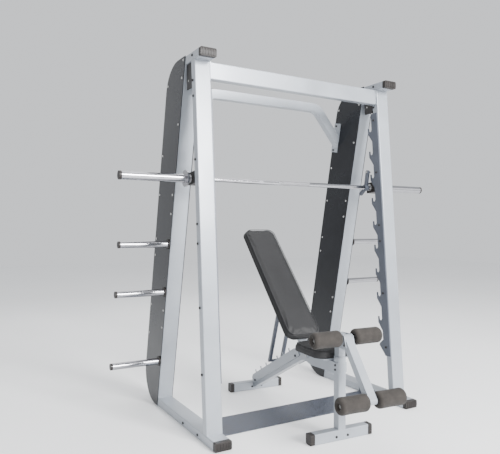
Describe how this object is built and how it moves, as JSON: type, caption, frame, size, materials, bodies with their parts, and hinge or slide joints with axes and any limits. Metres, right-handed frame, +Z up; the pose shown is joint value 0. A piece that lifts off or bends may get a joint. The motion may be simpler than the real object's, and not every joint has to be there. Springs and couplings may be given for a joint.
{
  "type": "smith machine",
  "caption": "Smith machine: a guided, counterbalanced bar on leaning uprights with rack hooks, plate horns and side shrouds, and an adjustable bench with foam leg rollers.",
  "frame": {"origin": "on the floor, at the middle of the foot plate's underside", "axes": "+X to the right along the bar, +Y from the front uprights to the back, +Z up"},
  "size_m": [2.3, 1.5918, 2.192],
  "materials": {
    "silver_paint": "semi-gloss silver-grey powder coat",
    "shroud_black": "gloss black",
    "hook_grey": "satin dark grey",
    "chrome": "bright",
    "black_plastic": "satin moulded",
    "white_plastic": "satin",
    "dark_bolt": "black oxide",
    "steel": "bare",
    "iron": "painted",
    "vinyl": "charcoal vinyl with a sewn edge",
    "foam": "closed-cell foam"
  },
  "bodies": {
    "frame": {"left_base_tube": "silver_paint", "right_base_tube": "silver_paint", "left_front_upright": "silver_paint", "right_front_upright": "silver_paint", "left_rear_upright": "silver_paint", "right_rear_upright": "silver_paint", "left_top_arm": "silver_paint", "right_top_arm": "silver_paint", "top_beam": "silver_paint", "rear_brace": "silver_paint", "foot_plate": "hook_grey", "hook_plates": "hook_grey", "rack_hooks": "hook_grey", "left_outer_shroud": "shroud_black", "left_inner_shroud": "shroud_black", "right_outer_shroud": "shroud_black", "right_inner_shroud": "shroud_black", "shroud_screws": "steel", "shroud_spacers": "black_plastic", "storage_horns": "chrome", "horn_flanges": "black_plastic", "horn_caps": "black_plastic", "frame_bolts": "dark_bolt", "tube_end_caps": "black_plastic", "guide_rails": "steel", "pulley_brackets": "dark_bolt", "pulley_axles": "steel", "cables": "steel"},
    "carriage": {"carriage_blocks": "black_plastic", "carriage_liners": "white_plastic", "bar_bearings": "steel", "cable_anchors": "steel"},
    "bar": {"bar_shaft": "chrome", "bar_sleeves": "chrome", "sleeve_collars": "chrome", "sleeve_caps": "black_plastic", "bar_catches": "hook_grey", "catch_pegs": "steel"},
    "front_pulley_pair": {"front_pulleys": "black_plastic"},
    "rear_pulley_pair": {"rear_pulleys": "black_plastic"},
    "counterweight_pair": {"counterweights": "iron"},
    "bench": {"bench_front_foot": "silver_paint", "bench_rear_foot": "silver_paint", "bench_foot_caps": "black_plastic", "bench_post": "silver_paint", "bench_spine": "silver_paint", "bench_ladder_plates": "silver_paint", "bench_side_plates": "silver_paint", "bench_leg_arm": "silver_paint", "bench_bolts": "dark_bolt", "bench_pivot_pins": "steel", "bench_roller_axles": "steel", "bench_arm_bracket": "silver_paint"},
    "bench_back": {"bench_back_frame": "silver_paint", "bench_back_pad": "vinyl"},
    "bench_prop": {"bench_strut": "hook_grey"},
    "bench_seat": {"bench_seat_frame": "silver_paint", "bench_seat_pad": "vinyl"},
    "upper_roller_pair": {"bench_upper_rollers": "foam"},
    "lower_roller_pair": {"bench_lower_rollers": "foam"}
  },
  "joints": [
    {"name": "carriage_slide", "type": "slide", "parent": "frame", "child": "carriage", "axis": [0, 0.0842, 0.9964], "range_m": [-0.656, 0.328], "deforming": ["cables"]},
    {"name": "bar_turn", "type": "hinge", "parent": "carriage", "child": "bar", "pos_m": [0, 0.05058, 1.4653], "axis": [1, 0, 0], "range_deg": [0, 16]},
    {"name": "front_pulley_spin", "type": "hinge", "parent": "frame", "child": "front_pulley_pair", "pos_m": [0, 0.07908, 2.04], "axis": [1, 0, 0], "range_deg": [-675, 1346]},
    {"name": "rear_pulley_spin", "type": "hinge", "parent": "frame", "child": "rear_pulley_pair", "pos_m": [0, 0.23972, 2.04], "axis": [1, 0, 0], "range_deg": [-675, 1346]},
    {"name": "counterweight_slide", "type": "slide", "parent": "frame", "child": "counterweight_pair", "axis": [0, -0.2028, 0.9792], "range_m": [-0.33, 0.658]},
    {"name": "bench_move", "type": "slide", "parent": "frame", "child": "bench", "axis": [0.061, 0.9981, 0], "range_m": [0, 0.25]},
    {"name": "back_lift", "type": "hinge", "parent": "bench", "child": "bench_back", "pos_m": [-0.02294, -0.13314, 0.425], "axis": [0.9981, -0.061, 0], "range_deg": [0, 14]},
    {"name": "prop_swing", "type": "hinge", "parent": "bench_back", "child": "bench_prop", "pos_m": [-0.00755, 0.11839, 0.677], "axis": [0.9981, -0.061, 0], "range_deg": [-12.6, 0]},
    {"name": "seat_tilt", "type": "hinge", "parent": "bench", "child": "bench_seat", "pos_m": [-0.02617, -0.18604, 0.406], "axis": [-0.9981, 0.061, 0], "range_deg": [0, 10]},
    {"name": "upper_roller_spin", "type": "hinge", "parent": "bench", "child": "upper_roller_pair", "pos_m": [-0.04766, -0.53739, 0.577], "axis": [0.9981, -0.061, 0], "continuous": true},
    {"name": "lower_roller_spin", "type": "hinge", "parent": "bench", "child": "lower_roller_pair", "pos_m": [-0.06079, -0.75199, 0.29], "axis": [0.9981, -0.061, 0], "continuous": true}
  ],
  "couplings": [
    {"joint": "front_pulley_spin", "follows": "carriage_slide", "rad_per_m": -35.714},
    {"joint": "rear_pulley_spin", "follows": "carriage_slide", "rad_per_m": -35.714},
    {"joint": "counterweight_slide", "follows": "carriage_slide", "ratio": -1},
    {"joint": "prop_swing", "follows": "back_lift", "ratio": -0.85}
  ]
}
